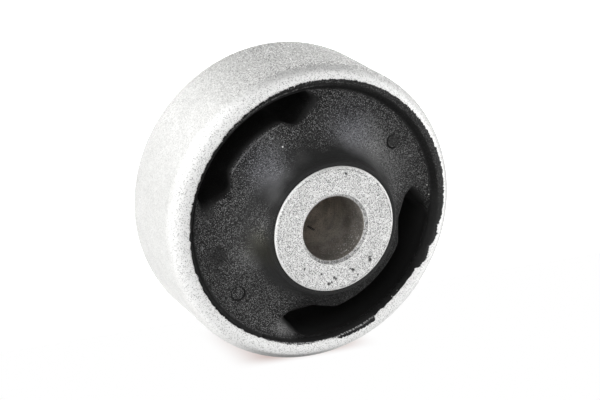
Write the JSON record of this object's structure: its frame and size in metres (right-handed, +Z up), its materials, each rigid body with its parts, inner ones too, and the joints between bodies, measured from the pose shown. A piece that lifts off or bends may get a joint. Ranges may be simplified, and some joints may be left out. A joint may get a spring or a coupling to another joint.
{
  "type": "rubber metal bush",
  "caption": "Rubber-to-metal bush: a wide outer sleeve and a bored inner sleeve bonded to a voided rubber body, as pressed into a suspension arm.",
  "frame": {"origin": "middle of the inner sleeve's lower end face, which the bush stands on", "axes": "+Z up along the bore's axis, towards the end with the moulding flash; +X from the axis through the middle of the wide void; +Y towards one of the two spokes"},
  "size_m": [0.058, 0.058, 0.038],
  "materials": {
    "outer_sleeve": "grit-blasted, silver white with fine dark specks",
    "rubber_body": "moulded, matt charcoal with a fine grain and pale dust",
    "inner_sleeve": "grit-blasted, silver white with dark pits"
  },
  "bodies": {
    "root": {"outer_sleeve": "outer_sleeve", "rubber_body": "rubber_body", "inner_sleeve": "inner_sleeve"}
  },
  "joints": []
}
